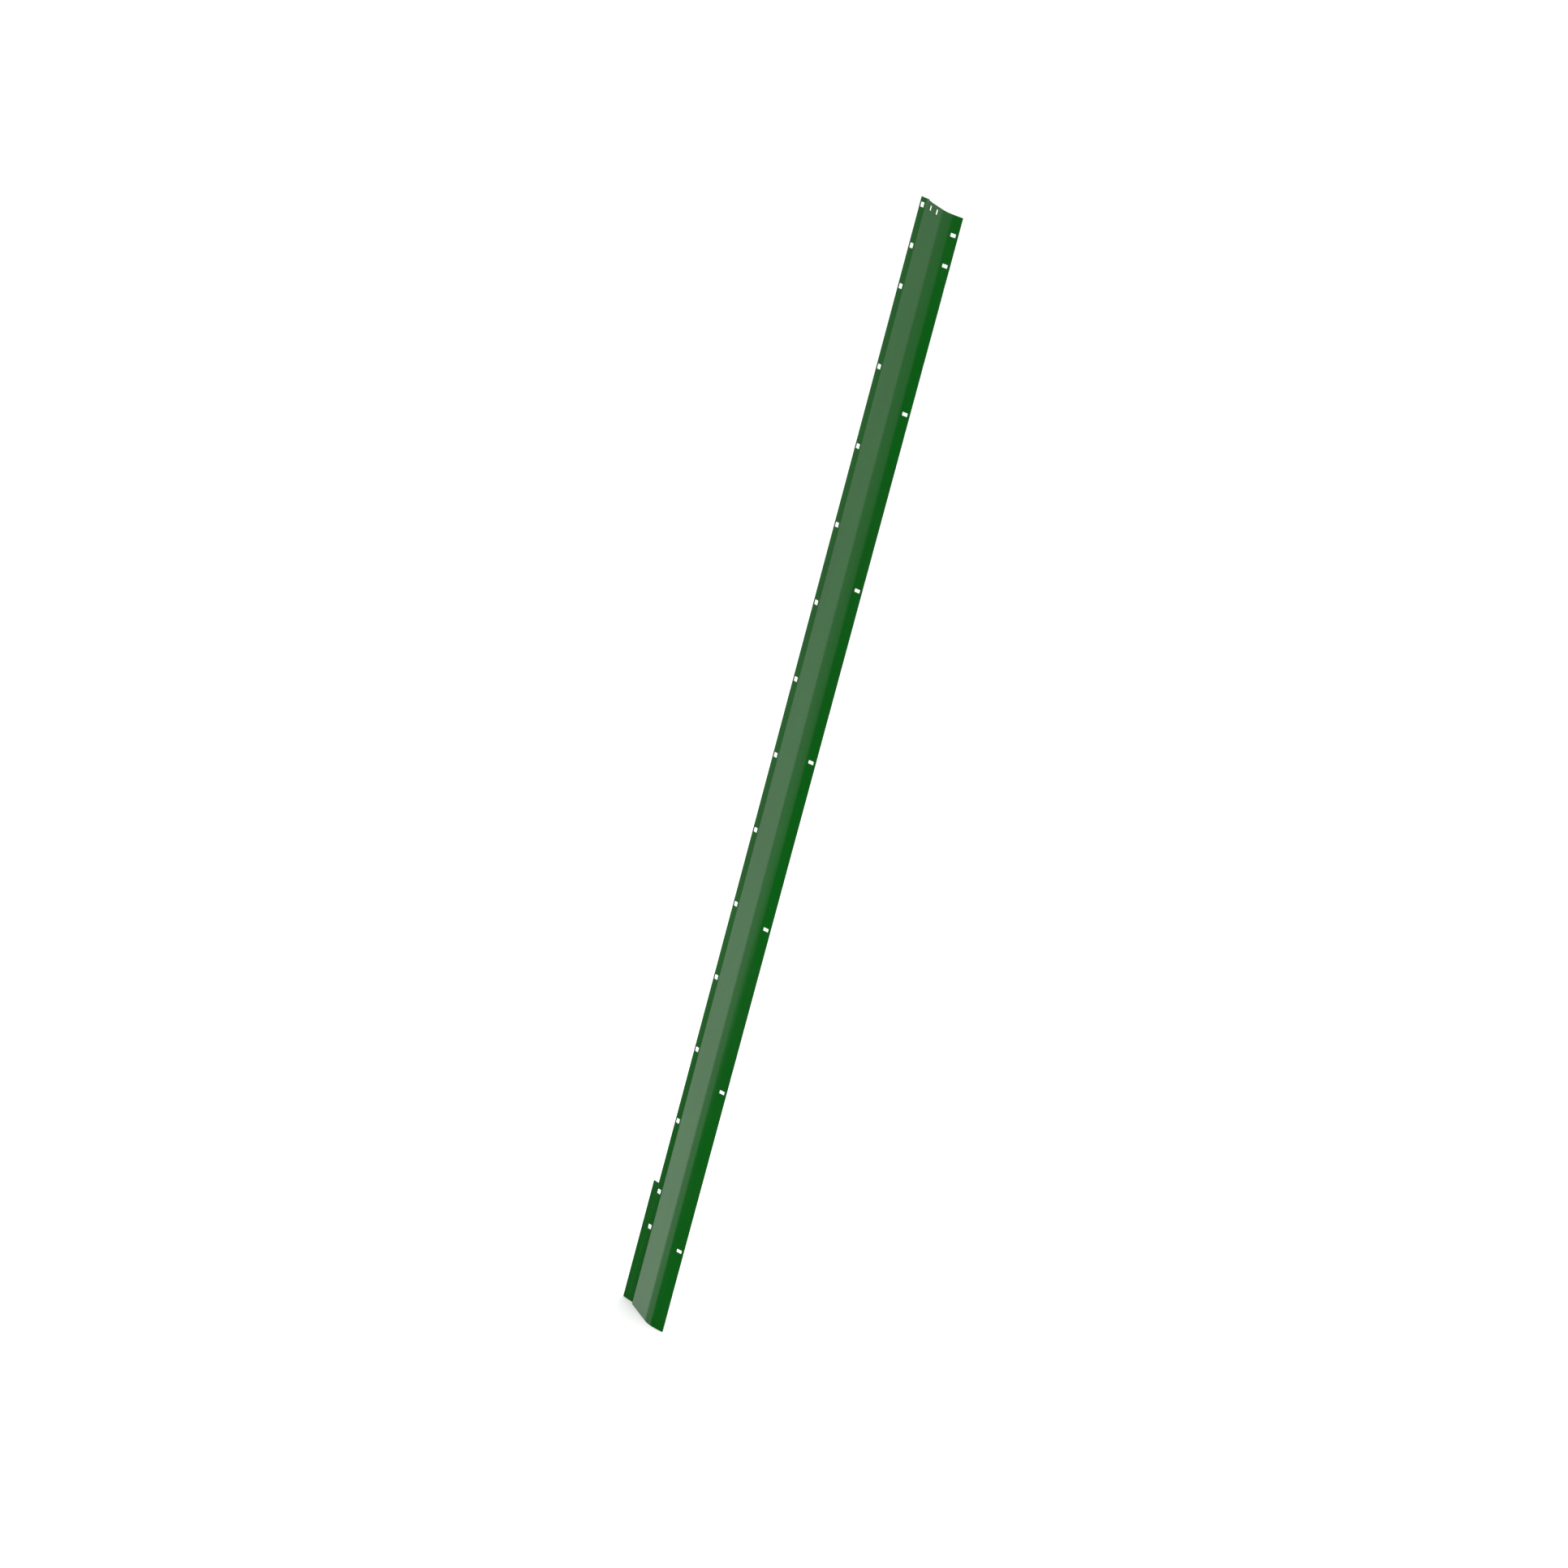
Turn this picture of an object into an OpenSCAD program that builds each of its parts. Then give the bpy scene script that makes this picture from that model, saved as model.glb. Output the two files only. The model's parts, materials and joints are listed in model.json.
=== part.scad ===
// Delineator post: a bare ground-driven post of thin steel sheet.
// A formed face panel, a slotted Z-section edge rail and an anchor fin at the foot, welded together.
// +Z runs up the post, X across its face, and the face looks towards -Y.
// The origin is at the bottom, in the middle of the section's box.

/* [Post] */
// Cut length of the post
post_h = 1675; // [1200:5:2100]
// Thickness of the sheet that every piece is made from
sheet_t = 1.2; // [0.8:0.1:2]

/* [Face panel] */
// Width of the flat web, from its left edge to the crown
web_w = 48.6; // [40:0.1:75]
// Slope of the web to the flange, in degrees
web_slope = 22.6; // [12:0.1:30]
// Radius of the crown's front face
crown_r = 40; // [20:0.5:60]
// Width of the flat lip beyond the crown
lip_w = 14.3; // [12:0.1:24]
// Backward slope of the lip, in degrees
lip_slope = 10.1; // [5:0.1:20]

/* [Edge rail] */
// Visible width of the flange, from its outer edge to the step
flange_w = 13.8; // [12:0.1:24]
// Height of the web's left edge in front of the flange
step_h = 4.8; // [4.2:0.1:9]
// Width of the leg that laps behind the web, from the web's left edge
lap_w = 11; // [8:0.1:12.4]
// Inside radius of the rail's two bends
bend_r = 0.8; // [0.4:0.1:1]

/* [Anchor fin] */
// Width that the fin adds outside the flange
fin_w = 9.65; // [6:0.05:30]
// Height of the fin above the foot
fin_h = 190.5; // [120:0.5:450]

/* [Flange slots] */
// Distance between the flange slots
flange_pitch = 114.3; // [60:0.1:150]
// Centre of the highest flange slot, below the top end
flange_first = 10.3; // [8:0.1:40]
// Centre line of the flange slots, in from the flange's outer edge
flange_slot_in = 4.5; // [4.3:0.1:8]
// Width of a flange slot, across the post
flange_slot_w = 6; // [4.6:0.1:6.4]
// Length of a flange slot, along the post
flange_slot_l = 7; // [5:0.1:12]

/* [Lip slots] */
// Distance between the lip slots
lip_pitch = 254; // [150:1:300]
// Centres of the two lip slots near the top, below the top end
lip_head = [26.3, 68.8];
// Centre of the first slot of the evenly spaced row, below the top end
lip_first = 277; // [120:1:400]
// Centre line of the lip slots, in from the lip's free edge
lip_slot_in = 7.9; // [6:0.1:8.4]
// Width of a lip slot, across the post
lip_slot_w = 8.2; // [5:0.1:9]
// Length of a lip slot, along the post
lip_slot_l = 5; // [4.6:0.1:9]

/* [Strap slots] */
// Centre of the strap slots, below the top end
strap_drop = 7.7; // [6:0.1:30]
// Centres of the strap slots, along the web from its left edge
strap_in = [15, 33.9];
// Width of a strap slot, across the web
strap_slot_w = 5.2; // [4.8:0.1:5.6]
// Length of a strap slot, along the post
strap_slot_l = 6.8; // [5:0.1:12]

/* [Foot] */
// Length at the foot that is kept free of slots
foot_clear = 120; // [60:1:300]

/* [Welds] */
// Length of one weld bead along the lap leg
lap_weld_l = 20; // [10:1:40]
// Distance that the lap leg's welds are spaced at, rounded so that they fill the post evenly
lap_weld_pitch = 143; // [80:1:300]
// Centre of the first and the last lap weld, in from the post's ends
lap_weld_end = 50; // [25:1:70]
// Width of the weld bead behind the fin's seam
fin_weld_w = 2.4; // [2:0.1:2.8]
// Height of the weld bead behind the fin's seam
fin_weld_t = 0.6; // [0.4:0.1:1]
// Distance that the fin's weld stops short of the fin's two ends
fin_weld_end = 6; // [2:0.5:15]

/* [Hidden] */
post_green = "#2f6a37";
weld_green = "#2b6033";
// The depth of every slot's cutter, well past the sheet on both sides
cut_d = 8 * sheet_t;
// How far a bend runs into the flat next to it, so that the two become one sheet
fuse = 0.02;

// Section points are on the front faces, from the flange's outer edge, with y negative towards the front.
web_dir = [cos(web_slope), -sin(web_slope)];
web_back = [sin(web_slope), cos(web_slope)];
lip_dir = [cos(lip_slope), sin(lip_slope)];
lip_back = [-sin(lip_slope), cos(lip_slope)];
web_a = [flange_w, -step_h];
web_b = web_a + web_w * web_dir;
crown_c = web_b + crown_r * web_back;
// The lap leg's front face lies on the web's back face.
lap_a = web_a + sheet_t * web_back;
lip_a = crown_c - crown_r * lip_back;
lip_b = lip_a + lip_w * lip_dir;

// Box of the section, whose middle is the origin
box_left = -fin_w;
box_right = lip_b[0];
box_front = crown_c[1] - crown_r;
box_back = sheet_t + fin_weld_t;
box_mid = [(box_left + box_right) / 2, (box_front + box_back) / 2];

// Flange slots in pitches below the highest: a half step, then full steps, then a half step where it fits
flange_last = floor(2 * (post_h - flange_first - foot_clear) / flange_pitch) / 2;
flange_steps = concat([0, 0.5], [for (k = [1:floor(flange_last)]) k],
                      flange_last > floor(flange_last) ? [flange_last] : []);
flange_slot_z = [for (k = flange_steps) post_h - flange_first - k * flange_pitch];
lip_count = floor((post_h - lip_first - foot_clear) / lip_pitch);
lip_slot_z = concat([for (d = lip_head) post_h - d],
                    [for (k = [0:lip_count]) post_h - lip_first - k * lip_pitch]);

// Places the drawn section about the origin.
module centred() {
    translate([-box_mid[0], -box_mid[1], 0]) children();
}

// A straight strip of sheet: its front face starts at p and runs for w in the direction dir.
module strip(p, dir, back, w) {
    polygon([p, p + w * dir, p + w * dir + sheet_t * back, p + sheet_t * back]);
}

// A bend in the sheet about c, from radius r_in, between two angles at most 90 degrees apart.
module bend(c, r_in, from, to) {
    r_out = r_in + sheet_t;
    reach = 2 * r_out;
    a = from - asin(fuse / r_out);
    b = to + asin(fuse / r_out);
    translate(c) intersection() {
        difference() {
            circle(r = r_out, $fn = 96);
            circle(r = r_in, $fn = 96);
        }
        polygon([[0, 0], reach * [cos(a), sin(a)], reach * [cos(b), sin(b)]]);
    }
}

// A rectangular slot's cutter, square to the sheet, with the front face's point p and slope in degrees.
module slot(p, slope, z, w, l) {
    translate([p[0], p[1], z]) rotate([0, 0, slope]) cube([w, cut_d, l], center = true);
}

module face_panel() {
    lip_slot_p = lip_b - lip_slot_in * lip_dir;
    color(post_green) centred() difference() {
        linear_extrude(height = post_h) {
            strip(web_a, web_dir, web_back, web_w);
            bend(crown_c, crown_r - sheet_t, -90 - web_slope, -90 + lip_slope);
            strip(lip_a, lip_dir, lip_back, lip_w);
        }
        for (z = lip_slot_z) slot(lip_slot_p, lip_slope, z, lip_slot_w, lip_slot_l);
        for (d = strap_in)
            slot(web_a + d * web_dir, -web_slope, post_h - strap_drop, strap_slot_w, strap_slot_l);
    }
}

module edge_rail() {
    r_out = bend_r + sheet_t;
    // Where the line of the wall's left face meets the lap leg's front face
    wall_x = lap_a[0];
    turn = 90 - web_slope;
    corner_len = r_out * tan(turn / 2);
    root_c = [wall_x - bend_r, -bend_r];
    top_c = [wall_x + r_out, lap_a[1] + corner_len];
    lap_start = lap_a + corner_len * web_dir;
    color(post_green) centred() difference() {
        linear_extrude(height = post_h) {
            strip([0, 0], [1, 0], [0, 1], wall_x - bend_r);
            bend(root_c, bend_r, 0, 90);
            strip([wall_x, -bend_r], [0, -1], [1, 0], -bend_r - top_c[1]);
            bend(top_c, bend_r, 180, 180 + turn);
            strip(lap_start, web_dir, web_back, lap_w - corner_len);
        }
        for (z = flange_slot_z) slot([flange_slot_in, 0], 0, z, flange_slot_w, flange_slot_l);
    }
}

module anchor_fin() {
    color(post_green) centred() linear_extrude(height = fin_h) strip([-fin_w, 0], [1, 0], [0, 1], fin_w);
}

// Fillet beads in the corner between the lap leg's free edge and the web's back face.
module lap_welds() {
    corner = lap_a + lap_w * web_dir;
    span = post_h - 2 * lap_weld_end;
    gaps = max(1, round(span / lap_weld_pitch));
    color(weld_green) centred() for (k = [0:gaps])
        translate([0, 0, lap_weld_end + k * span / gaps - lap_weld_l / 2])
            linear_extrude(height = lap_weld_l)
                polygon([corner, corner + sheet_t * web_dir, corner + sheet_t * web_back]);
}

// A low round-topped bead over the seam between fin and flange, on the back.
module fin_weld() {
    r = (pow(fin_weld_w / 2, 2) + pow(fin_weld_t, 2)) / (2 * fin_weld_t);
    color(weld_green) centred() translate([0, sheet_t, fin_weld_end])
        linear_extrude(height = fin_h - 2 * fin_weld_end) intersection() {
            translate([0, fin_weld_t - r]) circle(r = r, $fn = 64);
            translate([-fin_weld_w, 0]) square([2 * fin_weld_w, 2 * fin_weld_t]);
        }
}

face_panel();
edge_rail();
anchor_fin();
lap_welds();
fin_weld();
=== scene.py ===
import json
import math

import bpy
import numpy as np
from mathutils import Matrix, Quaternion, Vector


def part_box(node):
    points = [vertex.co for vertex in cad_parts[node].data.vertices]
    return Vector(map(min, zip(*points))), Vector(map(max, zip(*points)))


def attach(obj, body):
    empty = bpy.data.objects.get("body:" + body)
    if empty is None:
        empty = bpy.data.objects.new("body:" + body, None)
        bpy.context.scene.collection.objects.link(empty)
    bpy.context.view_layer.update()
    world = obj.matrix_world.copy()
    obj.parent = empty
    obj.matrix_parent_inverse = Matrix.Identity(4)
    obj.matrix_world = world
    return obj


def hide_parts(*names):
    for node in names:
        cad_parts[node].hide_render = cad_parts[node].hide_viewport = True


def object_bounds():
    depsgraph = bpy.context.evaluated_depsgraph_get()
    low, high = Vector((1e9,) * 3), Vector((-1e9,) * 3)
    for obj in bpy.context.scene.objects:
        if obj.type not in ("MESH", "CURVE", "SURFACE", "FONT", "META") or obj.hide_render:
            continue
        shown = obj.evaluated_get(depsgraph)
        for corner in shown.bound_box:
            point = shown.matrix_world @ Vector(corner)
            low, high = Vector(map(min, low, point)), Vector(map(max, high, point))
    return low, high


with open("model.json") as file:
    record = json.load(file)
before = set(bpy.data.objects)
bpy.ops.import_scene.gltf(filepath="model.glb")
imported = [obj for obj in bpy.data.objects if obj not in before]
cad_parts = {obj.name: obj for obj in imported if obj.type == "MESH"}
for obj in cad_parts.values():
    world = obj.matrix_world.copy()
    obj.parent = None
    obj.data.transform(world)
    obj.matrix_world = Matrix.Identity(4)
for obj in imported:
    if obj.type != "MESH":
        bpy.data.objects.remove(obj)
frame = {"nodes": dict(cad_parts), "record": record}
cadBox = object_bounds()
print("frame loaded:", ", ".join(sorted(frame["nodes"])))

mm = 0.001

# shared sizes of the formed sheet, in metres and degrees
sheet = {
    "thickness": 1.2 * mm,
    "webWidth": 48.6 * mm,
    "webSlope": 22.6,
    "crownRadius": 40 * mm,      # on the front face
    "lipWidth": 14.3 * mm,
    "lipSlope": 10.1,
    "flangeWidth": 13.8 * mm,
    "stepHeight": 4.8 * mm,
    "lapWidth": 11 * mm,
    "bendRadius": 0.8 * mm,      # inside radius
    "edgeRound": 0.16 * mm,      # rounding of sheared and punched edges
    "rollDepth": 0.14 * mm,      # how far a punched rim is drawn in
    "rollReach": 0.7 * mm,       # how far from the rim it is drawn in
    "drawnIn": 0.003,            # least share that the section's depth is drawn in by
    "uneven": 0.008,             # how much more, where its waves are highest
}

postTop = cadBox[1].z
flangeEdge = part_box("edge_rail")[0].x
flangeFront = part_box("anchor_fin")[0].y


def slotCentres(prefix):
    # heights of the slots' middles, from the boxes that the record keeps open
    openings = frame["record"]["physics"]["openings"]
    boxes = [o["box_m"] for o in openings if o["name"].startswith(prefix)]
    return [(low[2] + high[2]) / 2 for low, high in boxes]


def walkSection(start, heading, stretches):
    # A path on the front face. A flat has a length. A bend has a turn, positive to the left, and its
    # radius on the front face. Returns the stretches with their start, heading and first arc length.
    x, y = start
    angle, run, walked = math.radians(heading), 0.0, []
    for kind, amount, radius in stretches:
        turn = math.radians(amount) if kind == "bend" else 0.0
        length = abs(turn) * radius if kind == "bend" else amount
        walked.append((run, run + length, x, y, angle, turn))
        if kind == "bend":
            side = math.copysign(radius, turn)
            x += side * (math.sin(angle + turn) - math.sin(angle))
            y += side * (math.cos(angle) - math.cos(angle + turn))
        else:
            x += length * math.cos(angle)
            y += length * math.sin(angle)
        angle += turn
        run += length
    return walked


def onSection(walked, s):
    # front point and backward direction for arc lengths s: a straight line on a flat, a circle on a bend
    s = np.asarray(s, float)
    x, y, heading = np.zeros_like(s), np.zeros_like(s), np.zeros_like(s)
    for i, (low, high, x0, y0, angle, turn) in enumerate(walked):
        here = s >= (low if i else -math.inf)
        d = s[here] - low
        if turn:
            side = (high - low) / turn
            now = angle + d / side
            x[here] = x0 + side * (np.sin(now) - math.sin(angle))
            y[here] = y0 + side * (math.cos(angle) - np.cos(now))
            heading[here] = now
        else:
            x[here], y[here] = x0 + d * math.cos(angle), y0 + d * math.sin(angle)
            heading[here] = angle
    return np.stack([x, y], -1), np.stack([-np.sin(heading), np.cos(heading)], -1)


def gridLines(low, high, hard, soft, gap):
    # hard lines are kept, soft lines only where no other is near, and wide spaces are divided evenly
    near = 0.28 * mm     # soft lines nearer than this to another are dropped
    lines = sorted({low, high, *[h for h in hard if low < h < high]})
    for v in soft:
        if low < v < high and min(abs(v - u) for u in lines) > near:
            lines.append(v)
    lines = sorted(lines)
    spaces = zip(lines, lines[1:])
    filled = [np.linspace(a, b, max(1, math.ceil((b - a) / gap)) + 1)[:-1] for a, b in spaces]
    return np.concatenate(filled + [[high]])


def rimDistance(s, z, slots, width, low, high):
    # distance to the nearest cut edge: to each slot's rectangle from outside, and to the four borders
    toSlot = np.full(np.shape(s), 1.0)
    for centreS, centreZ, w, l in slots:
        ds = np.maximum(np.abs(s - centreS) - w / 2, 0)
        dz = np.maximum(np.abs(z - centreZ) - l / 2, 0)
        toSlot = np.minimum(toSlot, np.hypot(ds, dz))
    border = np.minimum(np.minimum(s, width - s), np.minimum(z - low, high - z))
    return toSlot, np.maximum(border, 0)


def ease(x, y, z):
    # The slight unevenness of a rolled and punched sheet. The depth y is scaled by one less a small share,
    # which is a sum of sines of the height and of x, so touching pieces move together.
    slow = 0.5 + 0.3 * np.sin(z * 5.1 + 0.7) + 0.14 * np.sin(z * 13.7 + x * 21 + 2.1)
    quick = 0.06 * np.sin(z * 41 + x * 60) * np.sin(z * 17.3 + 1.3)
    return y * (1 - sheet["drawnIn"] - sheet["uneven"] * (slow + quick))


def formSheet(name, walked, low, high, slots, gapS, gapZ):
    # A grid of arc length by height on the front face, and the same grid moved back by the thickness. The
    # slots' cells are left out, and every open border gets a wall. Near a slot both faces are moved back
    # by a bell curve of the distance to it.
    t = sheet["thickness"]
    width = walked[-1][1]
    around = [0.35 * mm, 1.0 * mm, 2.4 * mm]     # extra grid lines this far from slots and borders
    bendStep = 3.5                               # widest turn between grid lines, in degrees
    hardS = [w[0] for w in walked] + [c + k * w / 2 for c, _, w, _ in slots for k in (-1, 1)]
    softS = [c + k * (w / 2 + a) for c, _, w, _ in slots for k in (-1, 1) for a in around]
    softS += around + [width - a for a in around]
    for first, last, *_, turn in walked:
        if turn:
            steps = max(6, round(abs(math.degrees(turn)) / bendStep))
            softS += list(np.linspace(first, last, steps + 1)[1:-1])
    hardZ = [c + k * l / 2 for _, c, _, l in slots for k in (-1, 1)]
    softZ = [c + k * (l / 2 + a) for _, c, _, l in slots for k in (-1, 1) for a in around]
    s = gridLines(0, width, hardS, softS, gapS)
    z = gridLines(low, high, hardZ, softZ, gapZ)

    midS, midZ = (s[1:] + s[:-1]) / 2, (z[1:] + z[:-1]) / 2
    keep = np.ones((len(s) - 1, len(z) - 1), bool)
    for centreS, centreZ, w, l in slots:
        keep &= ~np.outer(np.abs(midS - centreS) < w / 2, np.abs(midZ - centreZ) < l / 2)

    gridS, gridZ = np.meshgrid(s, z, indexing="ij")
    front, back = onSection(walked, gridS)
    toSlot, _ = rimDistance(gridS, gridZ, slots, width, low, high)
    roll = sheet["rollDepth"] * np.exp(-(toSlot / sheet["rollReach"]) ** 2)
    sides = []
    for depth in (0.0, t):
        xy = front + back * (depth + roll)[..., None]
        y = ease(xy[..., 0], xy[..., 1], gridZ)
        sides.append(np.stack([xy[..., 0], y, gridZ], -1).reshape(-1, 3))
    points = np.concatenate(sides)

    count = len(s) * len(z)
    index = np.arange(count).reshape(len(s), len(z))
    a, b = index[:-1, :-1][keep], index[1:, :-1][keep]
    c, d = index[1:, 1:][keep], index[:-1, 1:][keep]
    faces = [np.stack([a, b, c, d], 1), np.stack([d, c, b, a], 1) + count]
    padded = np.pad(keep, 1)
    for axis in (0, 1):
        for step in (1, -1):
            # a kept cell whose neighbour on this side is open gets a wall from the front to the back
            edge = padded & ~np.roll(padded, -step, axis)
            i, j = np.nonzero(edge[1:-1, 1:-1])
            if axis == 0:
                p, q = index[i + (step > 0), j], index[i + (step > 0), j + 1]
            else:
                q, p = index[i, j + (step > 0)], index[i + 1, j + (step > 0)]
            wall = np.stack([p, p + count, q + count, q], 1)
            faces.append(wall if step > 0 else wall[:, ::-1])
    faces = np.concatenate(faces)
    used, flat = np.unique(faces, return_inverse=True)
    return buildMesh(name, points[used], flat.reshape(faces.shape))


def buildMesh(name, points, faces):
    mesh = bpy.data.meshes.new(name)
    faces = np.asarray(faces)
    mesh.vertices.add(len(points))
    mesh.vertices.foreach_set("co", np.asarray(points, np.float32).ravel())
    mesh.loops.add(faces.size)
    mesh.loops.foreach_set("vertex_index", faces.astype(np.int32).ravel())
    mesh.polygons.add(len(faces))
    mesh.polygons.foreach_set("loop_start", np.arange(0, faces.size, faces.shape[1], dtype=np.int32))
    mesh.update(calc_edges=True)
    mesh.validate()
    mesh.polygons.foreach_set("use_smooth", np.ones(len(mesh.polygons), bool))
    piece = bpy.data.objects.new(name, mesh)
    bpy.context.scene.collection.objects.link(piece)
    return piece


def roundEdges(piece):
    bevel = piece.modifiers.new("edge round", "BEVEL")
    bevel.width = sheet["edgeRound"]
    bevel.segments = 2
    bevel.limit_method = "ANGLE"
    bevel.angle_limit = math.radians(40)
    bevel.use_clamp_overlap = True
    weighted = piece.modifiers.new("flat faces", "WEIGHTED_NORMAL")
    weighted.weight = 80
    settle(piece)


def settle(piece):
    # the modifiers' result becomes the piece's own mesh
    graph = bpy.context.evaluated_depsgraph_get()
    made = bpy.data.meshes.new_from_object(piece.evaluated_get(graph))
    made.name = piece.name
    piece.modifiers.clear()
    piece.data = made


def storeRim(piece, walked, low, high, slots):
    # Keeps each point's distance to the nearest cut edge, for the wear. Its arc length is that of the
    # nearest of many points along the middle of the sheet.
    mesh = piece.data
    co = np.empty(len(mesh.vertices) * 3, np.float32)
    mesh.vertices.foreach_get("co", co)
    co = co.reshape(-1, 3).astype(float)
    width = walked[-1][1]
    dense = np.linspace(0, width, 1200)
    front, back = onSection(walked, dense)
    middle = front + back * sheet["thickness"] / 2
    s = np.empty(len(co))
    for part in np.array_split(np.arange(len(co)), max(1, len(co) // 4000)):
        gap = np.hypot(co[part, None, 0] - middle[None, :, 0], co[part, None, 1] - middle[None, :, 1])
        s[part] = dense[gap.argmin(1)]
    toSlot, border = rimDistance(s, co[:, 2], slots, width, low, high)
    rim = mesh.attributes.new("rim", "FLOAT", "POINT")
    rim.data.foreach_set("value", np.minimum(toSlot, border).astype(np.float32))


def finishPiece(piece, node, material):
    piece.data.materials.clear()
    piece.data.materials.append(material)
    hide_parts(node)
    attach(piece, "root")


def makeGroup(name, inputs, outputs):
    tree = bpy.data.node_groups.new(name, "ShaderNodeTree")
    for side, sockets in (("INPUT", inputs), ("OUTPUT", outputs)):
        for label, value in sockets.items():
            kind = "NodeSocketColor" if isinstance(value, tuple) else "NodeSocketFloat"
            socket = tree.interface.new_socket(name=label, in_out=side, socket_type=kind)
            if side == "INPUT":
                socket.default_value = value
    return tree, tree.nodes.new("NodeGroupInput"), tree.nodes.new("NodeGroupOutput")


def put(tree, kind, values=None, **settings):
    node = tree.nodes.new(kind)
    for key, value in settings.items():
        setattr(node, key, value)
    for key, value in (values or {}).items():
        if isinstance(value, bpy.types.NodeSocket):
            tree.links.new(value, node.inputs[key])
        else:
            node.inputs[key].default_value = value
    return node


def placed(tree, scale):
    where = put(tree, "ShaderNodeTexCoord")
    return put(tree, "ShaderNodeMapping", {"Vector": where.outputs["Object"], "Scale": scale}).outputs[0]


def calc(tree, how, a, b=0.0, clamp=False):
    return put(tree, "ShaderNodeMath", {0: a, 1: b}, operation=how, use_clamp=clamp).outputs[0]


def ramp(tree, value, low, high, outLow=0.0, outHigh=1.0):
    node = put(tree, "ShaderNodeMapRange", {"Value": value, "From Min": low, "From Max": high,
                                            "To Min": outLow, "To Max": outHigh}, clamp=True)
    return node.outputs[0]


def noise(tree, vector, scale, detail=2.0, roughness=0.5):
    made = put(tree, "ShaderNodeTexNoise", {"Vector": vector, "Scale": scale, "Detail": detail,
                                            "Roughness": roughness})
    return made.outputs[0]


def coatSkinGroup():
    # The coating's own surface. Height is a fine peel with a few nibs of dust under it, Patch is where it
    # lies thicker or thinner, and Grain is a fine unevenness of its colour.
    tree, given, out = makeGroup("coat skin", {"Peel Size": 1.6, "Peel": 1.0, "Patch Size": 60.0},
                                 {"Height": 0.0, "Patch": 0.0, "Grain": 0.0})
    even = placed(tree, (1, 1, 1))
    peelScale = calc(tree, "DIVIDE", 1000.0, given.outputs["Peel Size"])
    coarse = noise(tree, even, peelScale, 1.5, 0.45)
    fine = noise(tree, even, calc(tree, "MULTIPLY", peelScale, 3.1), 1.0, 0.4)
    peel = calc(tree, "ADD", coarse, calc(tree, "MULTIPLY", fine, 0.35))
    cell = put(tree, "ShaderNodeTexVoronoi", {"Vector": even, "Scale": 90.0})
    lot = put(tree, "ShaderNodeSeparateColor", {0: cell.outputs["Color"]}).outputs[0]
    seldom = ramp(tree, lot, 0.86, 0.9)
    nib = calc(tree, "MULTIPLY", ramp(tree, cell.outputs["Distance"], 0.07, 0.0), seldom)
    height = calc(tree, "ADD", calc(tree, "MULTIPLY", peel, given.outputs["Peel"]), nib)
    tree.links.new(height, out.inputs["Height"])
    long = placed(tree, (1, 1, 0.22))
    patch = noise(tree, long, calc(tree, "DIVIDE", 1000.0, given.outputs["Patch Size"]), 3.0, 0.55)
    tree.links.new(ramp(tree, patch, 0.3, 0.7), out.inputs["Patch"])
    tree.links.new(ramp(tree, noise(tree, even, 1500.0, 2.0, 0.6), 0.3, 0.7), out.inputs["Grain"])
    return tree


def rimWearAndShadeGroup():
    # wear beside the cut edges, broken up by noise, from the distance kept on each point, and a mask of the
    # cut faces, which are painted darker: partly a thinner coat there, partly painted shade that keeps them
    # from showing as lit lines
    tree, given, out = makeGroup("rim wear and cut shade", {"Reach": 0.9, "Amount": 0.5},
                                 {"Bare": 0.0, "Thin": 0.0, "Cut": 0.0})
    kept = put(tree, "ShaderNodeAttribute", attribute_name="rim", attribute_type="GEOMETRY")
    rim = kept.outputs["Fac"]
    reach = calc(tree, "MULTIPLY", given.outputs["Reach"], mm)
    near = calc(tree, "SUBTRACT", 1.0, calc(tree, "DIVIDE", rim, reach), clamp=True)
    even = placed(tree, (1, 1, 1))
    chips = noise(tree, even, 900.0, 3.0, 0.6)
    worn = noise(tree, even, 45.0, 2.0, 0.5)
    both = calc(tree, "ADD", calc(tree, "MULTIPLY", chips, 0.6), calc(tree, "MULTIPLY", worn, 0.6))
    level = calc(tree, "ADD", calc(tree, "MULTIPLY", near, given.outputs["Amount"]), both)
    tree.links.new(ramp(tree, level, 1.00, 1.04), out.inputs["Bare"])
    tree.links.new(ramp(tree, level, 0.70, 1.00), out.inputs["Thin"])
    # the cut faces' mask: the coat darkens them, partly for a thinner coat there and partly as painted shade
    tree.links.new(ramp(tree, rim, 0.0, 0.12 * mm, 1.0, 0.0), out.inputs["Cut"])
    return tree


def handlingGroup():
    # fine rub marks along the post, from stacking and sliding, more of them in some bands than in others,
    # and a film of dust in long patches
    tree, given, out = makeGroup("handling marks", {"Amount": 0.5}, {"Mark": 0.0, "Dust": 0.0})
    thin = noise(tree, placed(tree, (900, 900, 9)), 1.0, 2.0, 0.5)
    band = noise(tree, placed(tree, (30, 30, 4)), 1.0, 2.0, 0.5)
    cut = calc(tree, "SUBTRACT", 0.76, calc(tree, "MULTIPLY", ramp(tree, band, 0.45, 0.75), 0.1))
    line = ramp(tree, thin, cut, calc(tree, "ADD", cut, 0.05))
    tree.links.new(calc(tree, "MULTIPLY", line, given.outputs["Amount"]), out.inputs["Mark"])
    film = noise(tree, placed(tree, (14, 14, 5)), 1.0, 5.0, 0.6)
    tree.links.new(ramp(tree, film, 0.42, 0.72), out.inputs["Dust"])
    return tree


coatSkin, rimWearAndShade, handling = coatSkinGroup(), rimWearAndShadeGroup(), handlingGroup()

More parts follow.
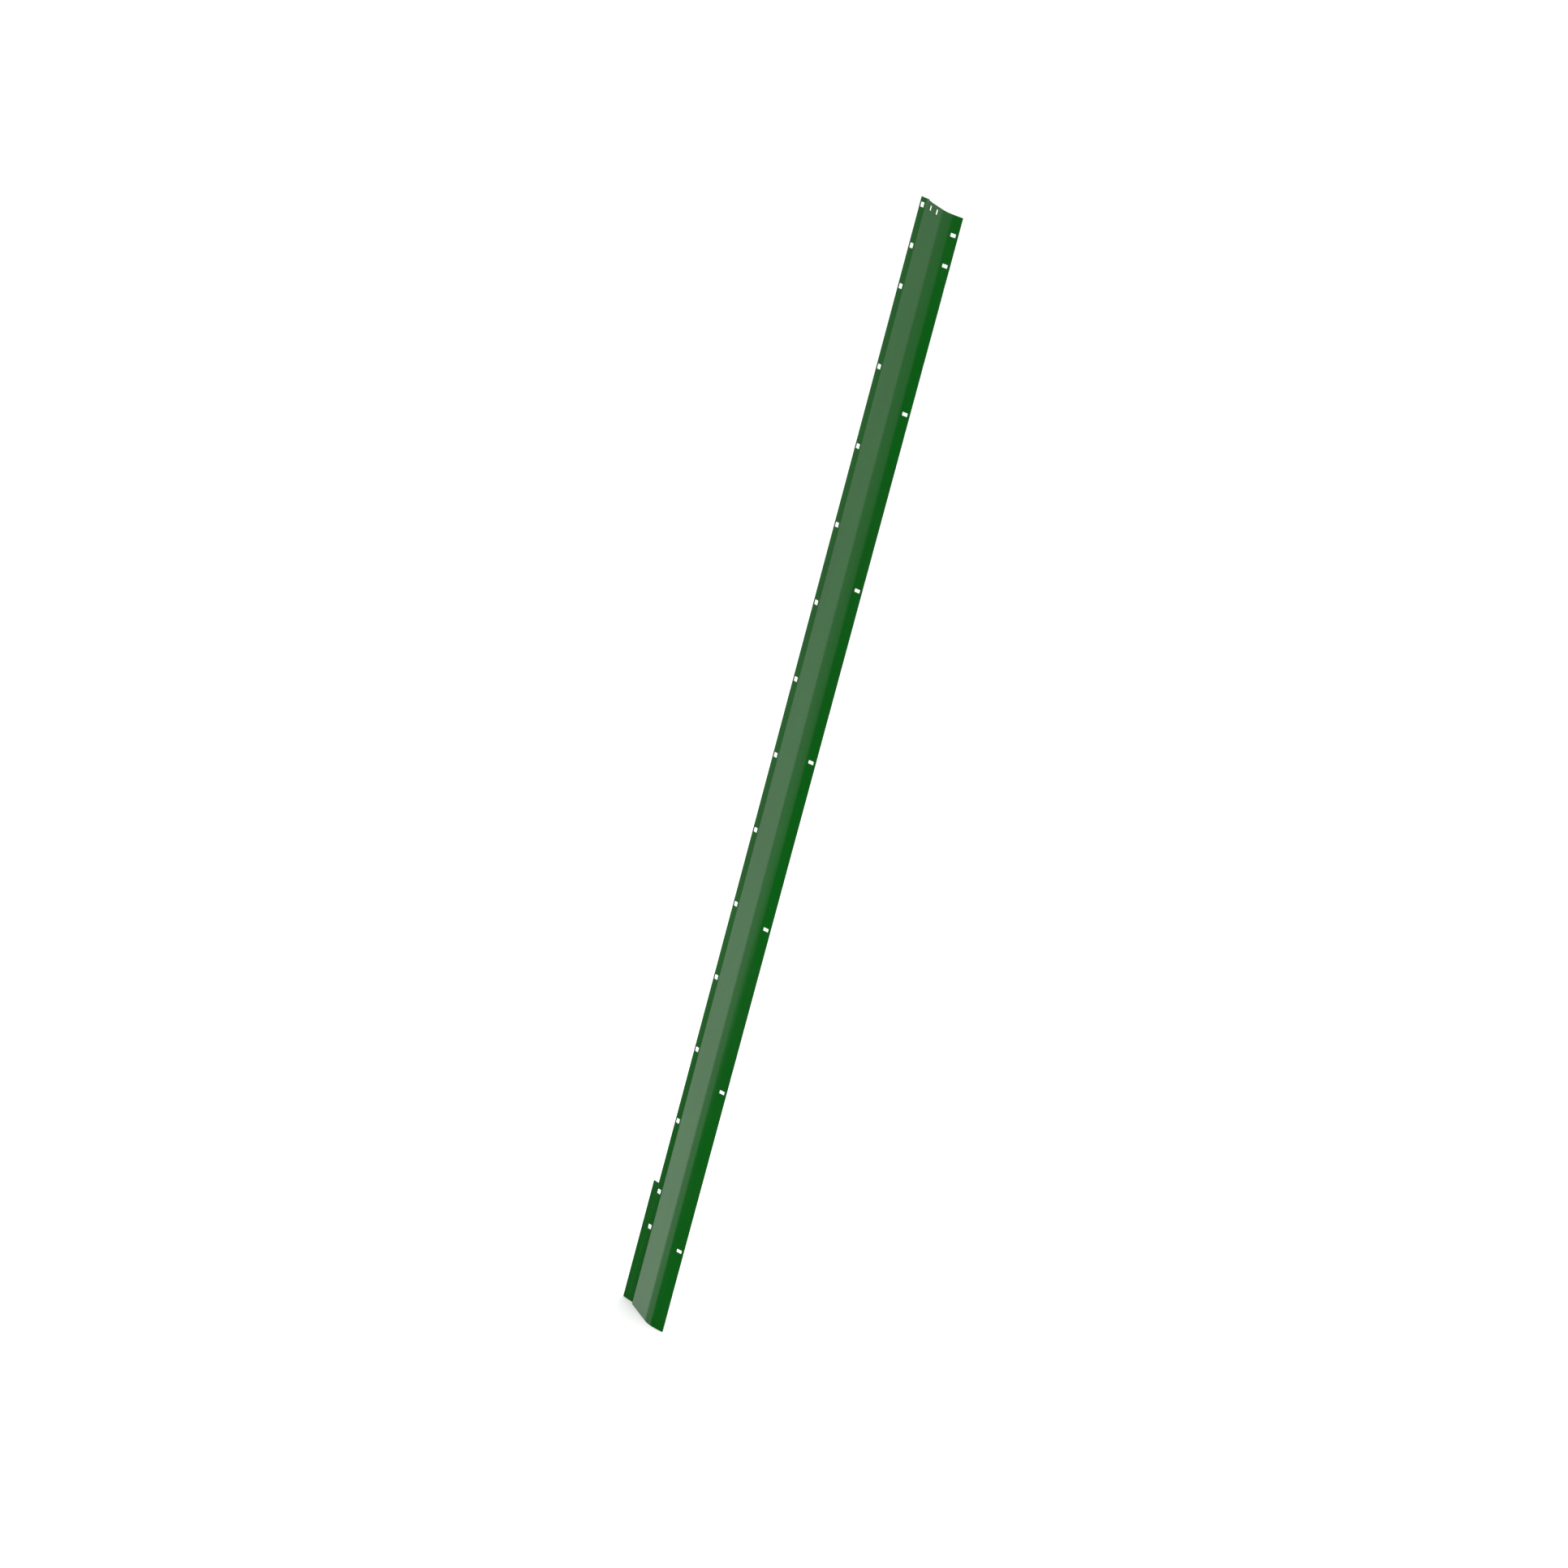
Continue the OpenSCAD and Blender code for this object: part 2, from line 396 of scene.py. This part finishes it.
coatLook = {
    "green": (0.0022, 0.089, 0.0058, 1),
    "thinAndShadedGreen": (0.0012, 0.046, 0.0036, 1),   # where the coating lies thin over dark steel, and the painted shade on the cut faces
    "deepGreen": (0.0017, 0.073, 0.0045, 1),   # where it lies thick
    "rubGreen": (0.0120, 0.118, 0.0190, 1),    # where it is rubbed
    "zinc": (0.33, 0.35, 0.36, 1),
    "dust": (0.030, 0.110, 0.036, 1),
    "roughness": 0.12,
    "specular": 0.5,
    "bump": 0.06 * mm,                         # height of the coating's texture
}


def mixColour(tree, factor, a, b):
    node = put(tree, "ShaderNodeMix", {"Factor": factor}, data_type="RGBA")
    for i, value in ((6, a), (7, b)):
        if isinstance(value, bpy.types.NodeSocket):
            tree.links.new(value, node.inputs[i])
        else:
            node.inputs[i].default_value = value
    return node.outputs[2]


def makeCoat(name, look, peel, peelSize, wear, marks, dust):
    # Colour, roughness and height each start from the coating and take the wear, marks, dust and the painted
    # shade on the cut faces in turn:
    # a layer's colour is mixed in by its mask times its share, and its roughness is added likewise.
    material = bpy.data.materials.new(name)
    material.use_nodes = True
    tree = material.node_tree
    shader = tree.nodes["Principled BSDF"]
    skin = put(tree, "ShaderNodeGroup", {}, node_tree=coatSkin)
    skin.inputs["Peel Size"].default_value = peelSize
    skin.inputs["Peel"].default_value = peel
    edge = put(tree, "ShaderNodeGroup", {}, node_tree=rimWearAndShade)
    edge.inputs["Amount"].default_value = wear
    rub = put(tree, "ShaderNodeGroup", {}, node_tree=handling)
    rub.inputs["Amount"].default_value = marks

    colour = mixColour(tree, skin.outputs["Patch"], look["deepGreen"], look["green"])
    for mask, share, tint in (
            (skin.outputs["Grain"], 0.6, "deepGreen"),
            (edge.outputs["Thin"], 0.6, "thinAndShadedGreen"),
            (rub.outputs["Dust"], dust, "dust"),
            (rub.outputs["Mark"], 0.6, "rubGreen"),
            # the cut faces painted darker: partly a thinner coat, partly painted shade so they don't show as
            # lit lines
            (edge.outputs["Cut"], 0.7, "thinAndShadedGreen"),
            (edge.outputs["Bare"], 1.0, "zinc")):
        colour = mixColour(tree, calc(tree, "MULTIPLY", mask, share), colour, look[tint])
    tree.links.new(colour, shader.inputs["Base Color"])

    rough = look["roughness"]
    for mask, amount in (
            (skin.outputs["Patch"], -0.04),
            (skin.outputs["Grain"], 0.05),
            (rub.outputs["Dust"], 0.06),
            (rub.outputs["Mark"], 0.16),
            (edge.outputs["Cut"], 0.45)):
        rough = calc(tree, "ADD", rough, calc(tree, "MULTIPLY", mask, amount))
    tree.links.new(rough, shader.inputs["Roughness"])
    tree.links.new(calc(tree, "MULTIPLY", edge.outputs["Bare"], 0.85), shader.inputs["Metallic"])
    shader.inputs["Specular IOR Level"].default_value = look["specular"]

    groove = calc(tree, "MULTIPLY", rub.outputs["Mark"], 0.5)
    height = calc(tree, "SUBTRACT", skin.outputs["Height"], groove)
    height = calc(tree, "SUBTRACT", height, calc(tree, "MULTIPLY", edge.outputs["Bare"], 1.2))
    bump = put(tree, "ShaderNodeBump", {"Height": height, "Strength": 0.5, "Distance": look["bump"]})
    tree.links.new(bump.outputs[0], shader.inputs["Normal"])
    return material


sheetCoat = makeCoat("coated sheet", coatLook, peel=1.0, peelSize=1.5, wear=0.30, marks=0.6, dust=0.05)
weldCoat = makeCoat("coated weld", coatLook, peel=1.6, peelSize=0.8, wear=0.0, marks=0.0, dust=0.10)
print("materials made")


# the face panel: flat web, rounded crown, slotted lip

panelSet = {
    "lipSlot": (8.2 * mm, 5.0 * mm),      # across the sheet, along the post
    "lipSlotIn": 7.9 * mm,                # from the lip's free edge
    "strapSlot": (5.2 * mm, 6.8 * mm),
    "strapSlotIn": [15 * mm, 33.9 * mm],  # from the web's left edge
    "gap": (3.2 * mm, 9 * mm),            # widest grid cell, across and along
}

webStart = (flangeEdge + sheet["flangeWidth"], flangeFront - sheet["stepHeight"])
panelPath = walkSection(webStart, -sheet["webSlope"], [
    ("flat", sheet["webWidth"], 0),
    ("bend", sheet["webSlope"] + sheet["lipSlope"], sheet["crownRadius"]),
    ("flat", sheet["lipWidth"], 0),
])
panelWidth = panelPath[-1][1]
lipSlotS = panelWidth - panelSet["lipSlotIn"]
panelSlots = [(lipSlotS, z, *panelSet["lipSlot"]) for z in slotCentres("lip_slot")]
strapPlaces = zip(panelSet["strapSlotIn"], slotCentres("strap_slot"))
panelSlots += [(s, z, *panelSet["strapSlot"]) for s, z in strapPlaces]
facePanel = formSheet("facePanel", panelPath, 0, postTop, panelSlots, *panelSet["gap"])
roundEdges(facePanel)
storeRim(facePanel, panelPath, 0, postTop, panelSlots)
finishPiece(facePanel, "face_panel", sheetCoat)
print("face panel:", len(facePanel.data.polygons), "faces")


# the edge rail: slotted flange, step wall, leg that laps behind the web

railSet = {
    "slot": (6 * mm, 7 * mm),
    "slotIn": 4.5 * mm,                   # from the flange's outer edge
    "gap": (2.4 * mm, 9 * mm),
}

slope = math.radians(sheet["webSlope"])
outerBend = sheet["bendRadius"] + sheet["thickness"]
cornerRun = outerBend * math.tan(math.radians(90 - sheet["webSlope"]) / 2)
wallX = sheet["flangeWidth"] + sheet["thickness"] * math.sin(slope)
wallTop = sheet["stepHeight"] - sheet["thickness"] * math.cos(slope)
railPath = walkSection((flangeEdge, flangeFront), 0, [
    ("flat", wallX - sheet["bendRadius"], 0),
    ("bend", -90, sheet["bendRadius"]),
    ("flat", wallTop - cornerRun - sheet["bendRadius"], 0),
    ("bend", 90 - sheet["webSlope"], outerBend),
    ("flat", sheet["lapWidth"] - cornerRun, 0),
])
railSlots = [(railSet["slotIn"], z, *railSet["slot"]) for z in slotCentres("flange_slot")]
edgeRail = formSheet("edgeRail", railPath, 0, postTop, railSlots, *railSet["gap"])
roundEdges(edgeRail)
storeRim(edgeRail, railPath, 0, postTop, railSlots)
finishPiece(edgeRail, "edge_rail", sheetCoat)
print("edge rail:", len(edgeRail.data.polygons), "faces")


# the anchor fin: a flat plate beside the flange's foot

finSet = {
    "gap": (2.4 * mm, 9 * mm),
}

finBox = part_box("anchor_fin")
finPath = walkSection((finBox[0].x, flangeFront), 0, [("flat", flangeEdge - finBox[0].x, 0)])
anchorFin = formSheet("anchorFin", finPath, 0, finBox[1].z, [], *finSet["gap"])
roundEdges(anchorFin)
storeRim(anchorFin, finPath, 0, finBox[1].z, [])
finishPiece(anchorFin, "anchor_fin", sheetCoat)
print("anchor fin:", len(anchorFin.data.polygons), "faces")


# the welds: beads with ripples, rounded off at both ends

beadSet = {
    "ripple": 1.5 * mm,       # distance between the ripples of a bead
    "rippleDepth": 0.10,      # as a share of the bead's own size
    "shift": 0.37 * mm,       # how far each bead's ripples are moved against the last one's
    "apart": 30 * mm,         # points that are further apart than this in height are on two beads
}


def sweepBead(profile, low, high, taper, steps, number):
    # A closed profile of (x, y) points, shrunk towards its first point, is carried up z. Its size is an
    # ellipse's quarter at both ends and swells and sinks with each ripple between them.
    z = np.linspace(low, high, steps)
    inward = np.minimum(z - low, high - z) / taper
    size = np.sqrt(np.clip(1 - (1 - np.clip(inward, 0, 1)) ** 2, 0, 1))
    wave = np.abs(np.sin(math.pi * (z + number * beadSet["shift"]) / beadSet["ripple"]))
    size = np.maximum(size * (1 - beadSet["rippleDepth"] * wave), 0.02)
    anchor = profile[0]
    ring = anchor + (profile - anchor)[None] * size[:, None, None]
    y = ease(ring[..., 0], ring[..., 1], z[:, None])
    points = np.stack([ring[..., 0], y, np.broadcast_to(z[:, None], y.shape)], -1).reshape(-1, 3)
    n = len(profile)
    i, j = np.meshgrid(np.arange(steps - 1), np.arange(n), indexing="ij")
    a, b = i * n + j, i * n + (j + 1) % n
    quads = np.stack([a, b, b + n, a + n], -1).reshape(-1, 4)
    return points, quads, n


def joinBeads(name, beads):
    points, quads, caps, base = [], [], [], 0
    for co, faces, n in beads:
        points.append(co)
        quads.append(faces + base)
        caps += [list(range(base, base + n))[::-1], list(range(base + len(co) - n, base + len(co)))]
        base += len(co)
    mesh = bpy.data.meshes.new(name)
    mesh.from_pydata(np.concatenate(points).tolist(), [], np.concatenate(quads).tolist() + caps)
    mesh.update()
    mesh.polygons.foreach_set("use_smooth", np.ones(len(mesh.polygons), bool))
    piece = bpy.data.objects.new(name, mesh)
    bpy.context.scene.collection.objects.link(piece)
    mesh.set_sharp_from_angle(angle=math.radians(50))
    rim = mesh.attributes.new("rim", "FLOAT", "POINT")     # a bead is far from every cut edge
    rim.data.foreach_set("value", np.full(len(mesh.vertices), 1.0, np.float32))
    return piece


lapWeldSet = {
    "leg": 0.98,              # as a share of the sheet's thickness
    "hollow": 0.16,           # how far the face is drawn in at its middle, as a share of the leg
    "taper": 3 * mm,          # length of a rounded end
    "steps": 61,
}

finWeldSet = {
    "width": 2.4 * mm,
    "height": 0.6 * mm,
    "taper": 4 * mm,
    "steps": 420,
}


def lapProfile():
    # from the corner along the web's back, and over a flattened quarter circle to the lap leg's far face
    webDir = np.array([math.cos(slope), -math.sin(slope)])
    webBack = np.array([math.sin(slope), math.cos(slope)])
    corner = np.array(webStart) + sheet["thickness"] * webBack + sheet["lapWidth"] * webDir
    leg = sheet["thickness"] * lapWeldSet["leg"]
    turn = np.linspace(0, math.pi / 2, 9)[:, None]
    reach = 1 - lapWeldSet["hollow"] * np.sin(2 * turn)
    arc = corner + leg * reach * (np.cos(turn) * webDir + np.sin(turn) * webBack)
    return np.concatenate([[corner], arc])


def finProfile():
    # a low parabola on the back face, with its feet on the sheet
    half = np.linspace(1, -1, 11)
    w, h = finWeldSet["width"] / 2, finWeldSet["height"]
    rise = h * (1 - half ** 2)
    back = flangeFront + sheet["thickness"]
    arc = np.stack([flangeEdge + w * half, back + rise], -1)
    return np.concatenate([[[flangeEdge, back]], arc])


def beadSpans(node):
    # lowest and highest z of each separate solid of a node, from the gaps between its points' heights
    z = np.sort(np.array([v.co.z for v in frame["nodes"][node].data.vertices]))
    cuts = np.nonzero(np.diff(z) > beadSet["apart"])[0]
    return list(zip(z[np.r_[0, cuts + 1]], z[np.r_[cuts, len(z) - 1]]))


lapEnds = (lapWeldSet["taper"], lapWeldSet["steps"])
lapSpans = enumerate(beadSpans("lap_welds"))
lapBeads = [sweepBead(lapProfile(), low, high, *lapEnds, k) for k, (low, high) in lapSpans]
lapWelds = joinBeads("lapWelds", lapBeads)
finishPiece(lapWelds, "lap_welds", weldCoat)

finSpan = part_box("fin_weld")
finEnds = (finWeldSet["taper"], finWeldSet["steps"])
finBead = sweepBead(finProfile(), finSpan[0].z, finSpan[1].z, *finEnds, number=3)
finWeld = joinBeads("finWeld", [finBead])
finishPiece(finWeld, "fin_weld", weldCoat)
print("welds:", len(lapBeads), "lap beads and the fin's bead")


floorSet = {
    "reach": 400,                    # metres from the post to each side
    "colour": (0.93, 0.93, 0.93, 1),
    "roughness": 0.9,
    "specular": 0.1,
}


def makeFloor(given):
    reach = given["reach"]
    corners = [(-reach, -reach, 0), (reach, -reach, 0), (reach, reach, 0), (-reach, reach, 0)]
    mesh = bpy.data.meshes.new("floor")
    mesh.from_pydata(corners, [], [(0, 1, 2, 3)])
    floor = bpy.data.objects.new("floor", mesh)
    bpy.context.scene.collection.objects.link(floor)
    material = bpy.data.materials.new("pale floor")
    material.use_nodes = True
    shader = material.node_tree.nodes["Principled BSDF"]
    shader.inputs["Base Color"].default_value = given["colour"]
    shader.inputs["Roughness"].default_value = given["roughness"]
    shader.inputs["Specular IOR Level"].default_value = given["specular"]
    mesh.materials.append(material)
    floor.visible_glossy = False      # the coating mirrors the studio below the horizon instead


softBoxes = [
    # name, place, aim, width, height, power
    ("overhead soft box", (0.2, 0.8, 4.2), (0, 0, 0), 3.0, 3.0, 45),
    ("left soft box", (-2.1, -0.7, 0.7), (0, 0, 0.4), 1.4, 1.4, 15),
    ("right soft box", (2.3, -0.9, 1.3), (0, 0, 0.8), 1.4, 2.2, 18),
]


def softBox(name, place, aim, width, height, power):
    light = bpy.data.lights.new(name, "AREA")
    light.shape = "RECTANGLE"
    light.size, light.size_y, light.energy = width, height, power
    lamp = bpy.data.objects.new(name, light)
    lamp.location = place
    lamp.rotation_mode = "QUATERNION"
    lamp.rotation_quaternion = (Vector(aim) - Vector(place)).to_track_quat("-Z", "Y")
    lamp.visible_camera = False
    lamp.visible_glossy = False
    bpy.context.scene.collection.objects.link(lamp)


# Turns are in degrees from straight ahead of the post, negative to the left. Drops are the sine of the
# angle below the horizon: a small drop is far off, and a large one is close by.
studioSet = {
    "sky": 1.17,
    "skyRise": 0.15,                 # sine of the angle above the horizon where the sky is full
    "leftEdge": -79.0,
    "leftSoft": 1.0,                 # half the turn over which that edge fades
    "leftFade": (-175, -140),        # where the left wall starts, behind the post
    "leftLevel": (0.58, 1.25),       # far off and close by
    "nearDrop": (0.19, 0.43),        # drops of far off and close by
    "nearCurve": 1.75,               # above 1, the levels rise late, close to the post
    "sideTurn": (-80, -50),
    "sideLevel": (0.29, 0.43),       # at the side's two turns
    "sideGain": 1.75,                # how much brighter it is close by
    "darkEdge": (-23.0, -42.0),      # far off and close by
    "darkDrop": (0.346, 0.376),      # drops between which the dark space widens
    "darkEnd": 0.0,                  # the dark space's right end
    "darkSoft": (2.0, 8.0),          # half the turns over which its left and right ends fade
    "rightRise": (45, 60),
    "rightFade": (130, 110),
    "rightLevel": 0.85,
}


def makeStudio(given):
    # Even white light from above. Below the horizon, where only reflections look, there is a bright wall
    # to the left, a weaker one to the right, grey ones beside them, and a narrow dark space in front.
    world = bpy.data.worlds.new("studio")
    world.use_nodes = True
    tree = world.node_tree
    toward = put(tree, "ShaderNodeSeparateXYZ", {0: put(tree, "ShaderNodeTexCoord").outputs["Generated"]})
    x, y, z = toward.outputs
    turn = calc(tree, "MULTIPLY", calc(tree, "ARCTAN2", x, calc(tree, "MULTIPLY", y, -1.0)), math.degrees(1))
    drop = calc(tree, "MULTIPLY", z, -1.0)
    edge, darkEnd = given["leftEdge"], given["darkEnd"]
    startSoft, endSoft = given["darkSoft"]
    left = ramp(tree, turn, edge + given["leftSoft"], edge - given["leftSoft"])
    left = calc(tree, "MULTIPLY", left, ramp(tree, turn, *given["leftFade"]))
    near = calc(tree, "POWER", ramp(tree, drop, *given["nearDrop"]), given["nearCurve"])
    leftLevel = ramp(tree, near, 0.0, 1.0, *given["leftLevel"])
    sideLevel = ramp(tree, turn, *given["sideTurn"], *given["sideLevel"])
    sideGain = ramp(tree, near, 0.0, 1.0, 1.0, given["sideGain"])
    sideLevel = calc(tree, "MULTIPLY", sideLevel, sideGain)
    darkStart = ramp(tree, drop, *given["darkDrop"], *given["darkEdge"])
    front = ramp(tree, calc(tree, "SUBTRACT", turn, darkStart), -startSoft, startSoft)
    front = calc(tree, "MULTIPLY", front, ramp(tree, turn, darkEnd + endSoft, darkEnd - endSoft))
    right = ramp(tree, turn, *given["rightRise"])
    right = calc(tree, "MULTIPLY", right, ramp(tree, turn, *given["rightFade"]))

    def blend(factor, a, b):
        return put(tree, "ShaderNodeMix", {"Factor": factor, "A": a, "B": b}, data_type="FLOAT").outputs[0]

    level = blend(left, sideLevel, leftLevel)
    level = blend(right, level, given["rightLevel"])
    level = blend(front, level, 0.0)
    level = blend(ramp(tree, z, 0.0, given["skyRise"]), level, given["sky"])
    background = tree.nodes["Background"]
    background.inputs["Color"].default_value = (1, 1, 1, 1)
    tree.links.new(level, background.inputs["Strength"])
    bpy.context.scene.world = world


makeStudio(studioSet)
makeFloor(floorSet)
for box in softBoxes:
    softBox(*box)
bpy.context.scene.view_settings.view_transform = "Standard"

cameraSet = {
    "azimuth": 38.0,
    "elevation": 18.473,
    "roll": 15.0,            # the camera's right side is held up by this
    "distance": 6.115,
    "aim": (-0.0176, 0.0220, -0.0092),   # from the middle of the post
    "lens": 100.70,
    "sensor": 36.0,
    "clipEnd": 1200,         # past the floor's corners
}


def makeCamera(given):
    data = bpy.data.cameras.new("camera")
    data.sensor_width, data.lens = given["sensor"], given["lens"]
    data.clip_end = given["clipEnd"]
    camera = bpy.data.objects.new("camera", data)
    bpy.context.scene.collection.objects.link(camera)
    a, e = math.radians(given["azimuth"]), math.radians(given["elevation"])
    back = Vector((math.sin(a) * math.cos(e), -math.cos(a) * math.cos(e), math.sin(e)))
    middle = Vector((0, 0, (cadBox[0].z + cadBox[1].z) / 2))
    camera.location = middle + Vector(given["aim"]) + back * given["distance"]
    camera.rotation_mode = "QUATERNION"
    level = (-back).to_track_quat("-Z", "Y")
    camera.rotation_quaternion = level @ Quaternion((0, 0, 1), math.radians(given["roll"]))
    bpy.context.scene.camera = camera


makeCamera(cameraSet)
print("floor, lights and camera placed")
